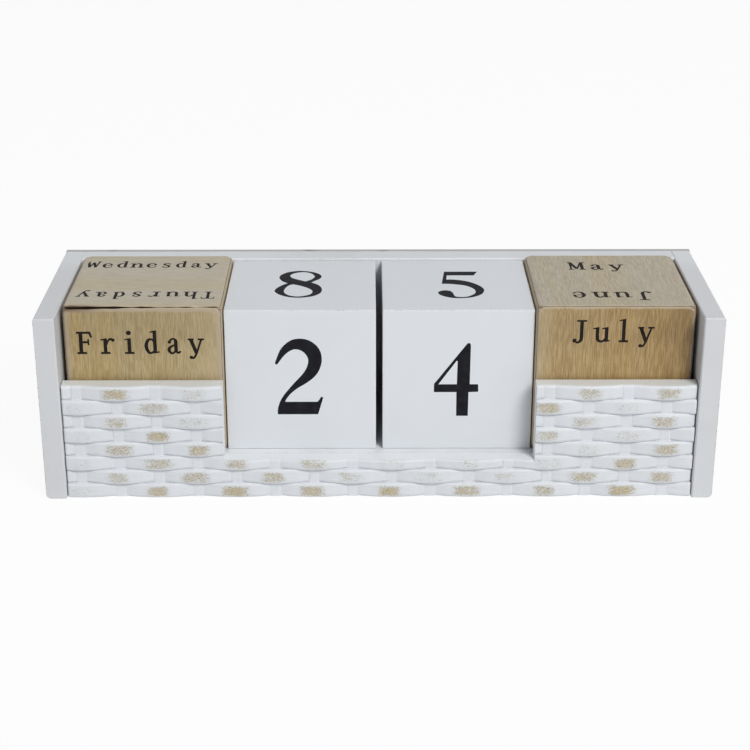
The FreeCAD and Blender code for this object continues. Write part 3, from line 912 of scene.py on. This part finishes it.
def jointOf(name, face):  # half the joint's opening along a plate's edge, in millimetres
    setup = wordBlocks["joint"]
    seed = setup["blockSeed"] * len(name) + setup["faceSeed"] * list(faceAxes).index(face)

    def gapAt(side, along):
        wavy = noise.noise(Vector((along * setup["playScale"], seed, setup["seeds"][side])))
        gap = setup["plain"] + setup["play"] * wavy
        if (name, face, side) in setup["sprung"]:
            wide, narrow, middle, run = setup["sprung"][name, face, side]
            chip = noise.noise(Vector((along * setup["chipScale"], setup["chipSeed"], 0)))
            gap = narrow + (wide - narrow) / (1 + math.exp((along - middle) / run)) + setup["chips"] * chip
        return max(setup["least"], gap)

    return gapAt


def makePlate(name, face, block, materials, coreHalf):
    prints = [wordPrint(*word) for word in wordBlocks["words"][name][face]]
    gapAt = jointOf(name, face)
    points, faces, slots, ring, spots = blockFace(block, face, prints, gapAt)
    reading, up, outward = axesOf(face)
    half = block["side"] / 2
    inside = []
    for x, y in spots:  # the inner rim, one point for each on the outer rim
        gapX = gapAt("left" if x < 0 else "right", y) * math.sqrt(2)
        gapY = gapAt("low" if y < 0 else "high", x) * math.sqrt(2)
        innerX = math.copysign(min(abs(x) * coreHalf / half, coreHalf - gapX), x)
        innerY = math.copysign(min(abs(y) * coreHalf / half, coreHalf - gapY), y)
        inside.append(len(points))
        points.append(block["centre"] + reading * innerX + up * innerY + outward * coreHalf)
    ply = 2  # the material slot of the rim and the inner side
    for a in range(len(ring)):
        b = (a + 1) % len(ring)
        faces.append([ring[b], ring[a], inside[a], inside[b]])
        slots.append(ply)
    faces.append(inside[::-1])
    slots.append(ply)
    nodeName = name + "_" + face + "_plate"
    meshPiece(nodeName + "_veneer", np.array(points) * mm, faces, slots, materials, name + "_block",
              [nodeName])


def makeWordBlock(name):
    low, high = boxOf(*(name + "_" + face + "_plate" for face in faceAxes))
    coreLow, coreHigh = boxOf(name + "_core")
    block = blockOf(low, high, wordBlocks["shape"])
    size = tuple(low * mm), tuple(high * mm)
    tones = wordBlocks[name]
    uprightWood = plateWood(name + "Upright", *size, tones, tones["upright"])
    flatWood = plateWood(name + "Flat", *size, tones, tones["flat"])
    ink = inkMaterial(name + "Ink", wordBlocks["ink"], tones["upright"]["light"], wordBlocks["inkGaps"])
    ply = plyMaterial(name + "Ply")
    for face in faceAxes:
        wood = flatWood if face in ("top", "bottom") else uprightWood
        makePlate(name, face, block, [wood, ink, ply], (coreHigh - coreLow).max() / 2)
    dressNode(name + "_core", ply)


makeWordBlock("weekday")
makeWordBlock("month")
print("word blocks finished")

# woven front

weave = {  # lengths in millimetres
    "rows": 8, "pitch": 6.04,
    "stakes": 17, "stakePitch": 15.55, "firstStake": 5.8, "stakeRise": 0.62,
    "stakeHalf": 1.7, "stakeFoot": 2.1, "stakeStep": 0.2, "stakeReach": 0.05,
    "windowHalf": 62.0, "sill": 16.3,
    "ground": 5.3,  # from the panel's back to the board between the strands
    "rise": 2.2, "riseSpare": 0.08, "widening": 0.2,
    "edgeDrop": 0.45, "edgeWide": 1.1, "seamDrop": 0.14, "seamHalf": 0.16,
    "endDrop": 0.55, "endRounding": 0.7, "rimRound": 1.1, "cornerDrop": 0.22,
    "levelFromRim": 1.5, "levelFromSill": 1.2,
    "crownWave": (0.07, 2.3, 1.7), "alongWave": (0.05, 0.9, 2.1),  # size, per crown or millimetre, per row
    "lines": {  # where the surface has its lines, in millimetres
        "ends": (0, 0.15, 0.4, 0.7), "window": (0, 0.22), "lastStake": 0.8,
        "rimShares": (0.08, 0.3, 0.6, 1),
        "acrossStart": 1, "acrossEnd": 0.9, "acrossStep": 0.5, "acrossLeast": 0.17,
        "upStart": 0.25, "upEnd": 0.3, "upStep": 0.42, "upLeast": 0.13,
    },
    "paint": {
        "paint": (0.695, 0.718, 0.752, 1), "shade": (0.648, 0.668, 0.688, 1), "drift": 0.5, "staining": 0.1,
        "rubbedLight": (0.58, 0.54, 0.455, 1), "rubbedDark": (0.37, 0.335, 0.265, 1),
        "golden": (1, 0.94, 0.78, 1), "goldenRange": (0.75, 1.1), "dot": (0.12, 0.085, 0.06, 1),
        "tones": (2600, 2, 0.7, (0.6, 1, 1)), "toneRange": (0.4, 0.6),
        "ridges": (1100, 2, 0.5, (0.03, 1, 1)), "ridgeShare": 1.2, "rubbedDepth": 0.6,
        "bump": 0.00012,
    },
    "sawn": {
        "warm": (0.62, 0.63, 0.61, 1), "warmShare": 0.35,
        "warmRun": (0.004, 0.0005),  # metres below the top
        "drift": 0.4, "staining": 0.15, "bump": 0.00006,
    },
    "wornCrowns": {  # each row from the top, {stake: how far the strand's paint is rubbed through over it}
        0: {1: 0.95, 3: 0.45, 13: 0.8, 15: 0.85},
        1: {0: 0.25, 2: 0.75, 4: 0.3, 12: 0.95, 14: 0.35},
        2: {1: 0.8, 3: 0.45, 13: 0.6, 15: 0.85},
        3: {0: 0.25, 2: 1.0, 4: 0.3, 12: 0.75, 14: 0.45},
        4: {1: 0.85, 3: 1.0, 13: 0.4, 15: 0.95},
        5: {0: 0.3, 2: 0.85, 4: 0.8, 6: 0.75, 8: 0.35, 10: 0.35, 12: 0.35, 14: 1.0},
        6: {1: 0.75, 3: 0.85, 5: 0.9, 7: 0.55, 9: 0.4, 11: 0.45, 13: 0.9, 15: 0.95},
        7: {0: 0.3, 2: 1.0, 4: 1.1, 6: 1.0, 8: 1.05, 10: 0.95, 12: 0.85, 14: 1.15},
    },
    "wornPatch": {  # a rubbed patch's reach along the strand and how its strength falls off
        "reach": 6.4, "reachWave": (0.8, 1.9, 2.7), "shiftWave": (0.9, 3.1, 1.3),
        "along": (1.15, 1.15), "across": (1.3, 1.7), "acrossShift": 1.06, "leastRise": 0.3,
    },
}


def weaveMaterial():
    material, tree, shader, place = newMaterial("weavePaint")
    look = weave["paint"]
    skin = useGroup(tree, paintSkin, {"Place": place, "Paint": look["paint"], "Shade": look["shade"],
                                      "Drift": look["drift"], "Staining": look["staining"]})
    amount = node(tree, "Attribute", {}, attribute_name="wear").outputs["Fac"]
    rubbed = useGroup(tree, rubbedPaint, {"Place": place, "Amount": amount})
    tones = grain(tree, place, *look["tones"])
    # the wood shown where the paint is rubbed through
    bareWoodAndJointShade = blend(tree, fade(tree, tones, *look["toneRange"]), look["rubbedDark"], look["rubbedLight"])
    bareWoodAndJointShade = blend(tree, fade(tree, amount, *look["goldenRange"]), bareWoodAndJointShade, look["golden"], "MULTIPLY")
    bareWoodAndJointShade = blend(tree, rubbed["Dots"], bareWoodAndJointShade, look["dot"])
    colour = blend(tree, rubbed["Mask"], skin["Color"], bareWoodAndJointShade)
    ridges = grain(tree, place, *look["ridges"])
    height = calc(tree, "MULTIPLY_ADD", ridges, look["ridgeShare"], skin["Height"])
    height = calc(tree, "SUBTRACT", height, calc(tree, "MULTIPLY", rubbed["Mask"], look["rubbedDepth"]))
    coat(tree, shader, colour, skin["Roughness"], height, look["bump"])
    return material


def sawnMaterial(top):  # the panel's smooth sawn edges, warmer along the wings' tops
    material, tree, shader, place = newMaterial("weaveSawnEdge")
    look = weave["sawn"]
    warm = fade(tree, axes(tree, place)["Z"], *(top - down for down in look["warmRun"]))
    skin = useGroup(tree, paintSkin, {
        "Place": place, "Paint": casePaint["ledge"], "Shade": weave["paint"]["paint"],
        "Drift": look["drift"], "Staining": look["staining"]})
    warmer = blend(tree, look["warmShare"], look["warm"], skin["Color"])
    colour = blend(tree, warm, skin["Color"], warmer)
    coat(tree, shader, colour, skin["Roughness"], skin["Height"], look["bump"])
    return material


def wave(size, perPlace, perRow, place, row):
    return size * np.sin(place * perPlace + row * perRow)


def thinned(wanted, fill, least):  # the wanted lines, and fill lines that aren't too near one
    kept = sorted({round(float(w), 4) for w in wanted})
    return np.array(sorted(kept + [float(f) for f in fill if min(abs(f - k) for k in kept) > least]))


def linesAcross(low, high):
    lines, firstStake = weave["lines"], low[0] + weave["firstStake"]
    stakes = [firstStake + k * weave["stakePitch"] for k in range(weave["stakes"])]
    sides = (-weave["stakeFoot"], -weave["stakeHalf"], weave["stakeHalf"], weave["stakeFoot"])
    wanted = [low[0] + e for e in lines["ends"]] + [high[0] - e for e in lines["ends"]]
    wanted += [s * (weave["windowHalf"] + e) for s in (-1, 1) for e in lines["window"]]
    wanted += [s + e for s in stakes for e in sides if s + e < high[0] - lines["lastStake"]]
    fill = np.arange(low[0] + lines["acrossStart"], high[0] - lines["acrossEnd"], lines["acrossStep"])
    return thinned(wanted, fill, lines["acrossLeast"])


def linesUp(low, high):
    lines, top, sill = weave["lines"], high[2], weave["sill"]
    aside = (-weave["seamHalf"], 0, weave["seamHalf"])
    wanted = [top - row * weave["pitch"] + e for row in range(1, weave["rows"]) for e in aside]
    wanted += [low[2], top, sill]
    wanted += [edge - weave["rimRound"] * share for edge in (top, sill) for share in lines["rimShares"]]
    fill = np.arange(low[2] + lines["upStart"], top - lines["upEnd"], lines["upStep"])
    return thinned(wanted, fill, lines["upLeast"])


def strandSurface(x, z, firstStake, top, row):  # a row's height over the ground, its wear and its swelling
    pitch, stakePitch, patch = weave["pitch"], weave["stakePitch"], weave["wornPatch"]
    bow = (stakePitch ** 2 + weave["rise"] ** 2) / (2 * weave["rise"])
    share = (x - firstStake) / stakePitch + row
    crown = 2 * np.round((share - 1) / 2) + 1
    away = (share - crown) * stakePitch
    down = top - row * pitch - z
    edge = pitch - down if row == 0 else np.minimum(down, pitch - down)
    drop = weave["edgeDrop"] * np.clip(1 - edge / weave["edgeWide"], 0, 1) ** 2
    drop += weave["seamDrop"] * (edge < weave["seamHalf"] / 2)
    uneven = wave(*weave["crownWave"], crown, row) + wave(*weave["alongWave"], x, row)
    uneven = np.minimum(uneven, weave["riseSpare"])
    height = weave["rise"] - weave["riseSpare"] + uneven - away ** 2 / (2 * bow) - drop
    centre = wave(*patch["shiftWave"], crown, row)
    reach = patch["reach"] + wave(*patch["reachWave"], crown, row)
    most, fall = patch["along"]
    spread = np.clip(most - fall * ((away - centre) / reach) ** 2, 0, 1)
    most, fall = patch["across"]
    spread *= np.clip(most - fall * (2 * down / pitch - patch["acrossShift"]) ** 2, 0, 1)
    worn = np.zeros_like(x)
    for stake, strength in weave["wornCrowns"][row].items():
        worn = np.where(np.isclose(crown - row, stake), strength * spread, worn)
    swell = np.cos(math.pi * (away / stakePitch)) * (1 - 2 * (down / pitch))
    return height, worn, swell


def weaveSurface(x, z, low, high):  # height over the ground, wear and swelling of the whole front
    firstStake, top, rows = low[0] + weave["firstStake"], high[2], weave["rows"]
    rowOf = np.clip(np.floor((top - z) / weave["pitch"] + touch), 0, rows - 1)
    rowAbove = np.clip(np.floor((top - z) / weave["pitch"] - touch), 0, rows - 1)
    strands = [strandSurface(x, z, firstStake, top, row) for row in range(rows)]
    height, wear, swell = (np.choose(rowOf.astype(int), layers) for layers in zip(*strands))
    for row in range(rows):  # on a seam the lower of the two rows counts
        seam = (rowAbove == row) & (rowAbove != rowOf)
        height[seam] = np.minimum(height[seam], strands[row][0][seam])
    nearest = firstStake + weave["stakePitch"] * np.round((x - firstStake) / weave["stakePitch"])
    fromStake = np.abs(x - nearest) - weave["stakeReach"]
    stakeEdge = np.where(fromStake < weave["stakeFoot"], weave["stakeRise"] - weave["stakeStep"], 0)
    stake = np.where(fromStake < weave["stakeHalf"], weave["stakeRise"], stakeEdge)
    height = np.maximum(np.maximum(height, stake), 0)
    return height, np.where(height > stake + weave["wornPatch"]["leastRise"], wear, 0), swell


def roundedEdges(x, z, low, high, height):  # rounds the ends, the stepped top edge and the window's corners
    side, sill, rim = weave["windowHalf"], weave["sill"], weave["rimRound"]
    nearEnd = np.minimum(x - low[0], high[0] - x)
    atEnd = weave["endDrop"] * np.clip(1 - nearEnd / weave["endRounding"], 0, 1) ** 2
    under = np.where(np.abs(x) < side + touch, sill, high[2]) - z
    inRim = np.clip(1 - under / rim, 0, 1) * (under > -touch)
    corner = (np.abs(np.abs(x) - side) < touch) & (z > sill + touch)
    return height - atEnd - (rim * (1 - np.sqrt(1 - inRim ** 2)) + weave["cornerDrop"] * corner)


def outlineOf(faces):  # the open edge of a sheet of faces, point by point
    onward = dict.fromkeys((a, b) for face in faces for a, b in zip(face, face[1:] + face[:1]))
    follow = {a: b for a, b in onward if (b, a) not in onward}
    outline = [next(iter(follow))]
    while follow[outline[-1]] != outline[0]:
        outline.append(follow[outline[-1]])
    return outline


def closedSheet(front, faces, rear):  # gives a sheet of faces its edges and a flat back
    outline = outlineOf(faces)
    behind = {a: len(front) + i for i, a in enumerate(outline)}
    back = np.column_stack([front[outline, 0], np.full(len(outline), rear), front[outline, 2]])
    edges = [[b, a, behind[a], behind[b]] for a, b in zip(outline, outline[1:] + outline[:1])]
    return np.vstack([front, back]), faces + edges + [[behind[a] for a in outline[::-1]]]


def withoutSpare(points, faces):  # drops the points that no face uses, here those in the window
    used = np.zeros(len(points), bool)
    used[np.concatenate([np.array(f) for f in faces])] = True
    renumber = np.cumsum(used) - 1
    return points[used], [[int(renumber[c]) for c in f] for f in faces], used


def makeWovenFront():
    low, high = boxOf("woven_front")
    top, rear, side, sill = high[2], high[1], weave["windowHalf"], weave["sill"]
    xs, zs = linesAcross(low, high), linesUp(low, high)
    x, z = np.meshgrid(xs, zs, indexing="ij")
    height, wear, swell = weaveSurface(x, z, low, high)
    height = roundedEdges(x, z, low, high, height)
    fromRim = weave["levelFromRim"]
    hold = np.minimum(np.clip((top - z) / fromRim, 0, 1), np.clip((z - low[2]) / fromRim, 0, 1))
    hold *= np.clip(np.abs(z - sill) / weave["levelFromSill"], 0, 1)
    levelled = z + weave["widening"] * swell * hold
    depth = rear - weave["ground"] - height

    number = np.arange(x.size).reshape(x.shape)
    front = np.column_stack([x.ravel(), depth.ravel(), levelled.ravel()])
    midX, midZ = (xs[:-1] + xs[1:])[:, None] / 2, (zs[:-1] + zs[1:])[None, :] / 2
    solid = ~((np.abs(midX) < side) & (midZ > sill))
    corners = [number[:-1, :-1], number[1:, :-1], number[1:, 1:], number[:-1, 1:]]
    faces = np.column_stack([c[solid] for c in corners]).tolist()
    points, closed = closedSheet(front, faces, rear)
    slots = [0] * len(faces) + [1] * (len(closed) - len(faces))
    points, closed, used = withoutSpare(points, closed)
    allWear = np.concatenate([wear.ravel(), np.zeros(len(used) - x.size)])[used]
    materials = [weaveMaterial(), sawnMaterial(top * mm)]
    meshPiece("woven_front_relief", points * mm, closed, slots, materials, "case", ["woven_front"],
              35, allWear)


makeWovenFront()
print("woven front finished")

# floor and surroundings

floorSetup = {
    "size": 8.0, "colour": (0.84, 0.845, 0.85, 1), "patches": (40, 2, 0.55), "patchTone": 0.99,
    "roughness": 0.9, "whiteShare": 0.93,
}
skySetup = {"colour": (0.93, 0.965, 1, 1), "strength": 0.335}


def seenShare(tree, share):  # the share for camera, glossy and transmission rays, 0 for light
    path = node(tree, "LightPath", {}).outputs
    seen = calc(tree, "MAXIMUM", path["Is Camera Ray"], path["Is Glossy Ray"])
    seen = calc(tree, "MAXIMUM", seen, path["Is Transmission Ray"])
    return calc(tree, "MULTIPLY", seen, share)


def makeFloor():
    half = floorSetup["size"] / 2
    mesh = bpy.data.meshes.new("floor")
    mesh.from_pydata([(-half, -half, 0), (half, -half, 0), (half, half, 0), (-half, half, 0)], [],
                     [(0, 1, 2, 3)])
    floor = addObject("floor", mesh)
    material, tree, shader, place = newMaterial("floorPaint")
    mesh.materials.append(material)
    darker = tuple(c * floorSetup["patchTone"] for c in floorSetup["colour"])
    tone = blend(tree, grain(tree, place, *floorSetup["patches"]), floorSetup["colour"], darker)
    feed(tree, shader, {"Base Color": tone, "Roughness": floorSetup["roughness"],
                        "Specular IOR Level": 0.0})
    bright = node(tree, "Emission", {"Color": white, "Strength": 1.0}).outputs[0]
    share = seenShare(tree, floorSetup["whiteShare"])
    mixed = node(tree, "MixShader", {0: share, 1: shader.outputs[0], 2: bright}).outputs[0]
    feed(tree, tree.nodes["Material Output"], {"Surface": mixed})


def makeSky():
    world = bpy.data.worlds.new("studio")
    scene.world = world
    world.use_nodes = True
    tree = world.node_tree
    soft = tree.nodes["Background"]
    feed(tree, soft, {"Color": skySetup["colour"], "Strength": skySetup["strength"]})
    bright = node(tree, "Background", {"Color": white, "Strength": 1.0}).outputs[0]
    mixed = node(tree, "MixShader", {0: seenShare(tree, 1.0), 1: soft.outputs[0], 2: bright}).outputs[0]
    feed(tree, tree.nodes["World Output"], {"Surface": mixed})


makeFloor()
makeSky()
print("floor and sky finished")
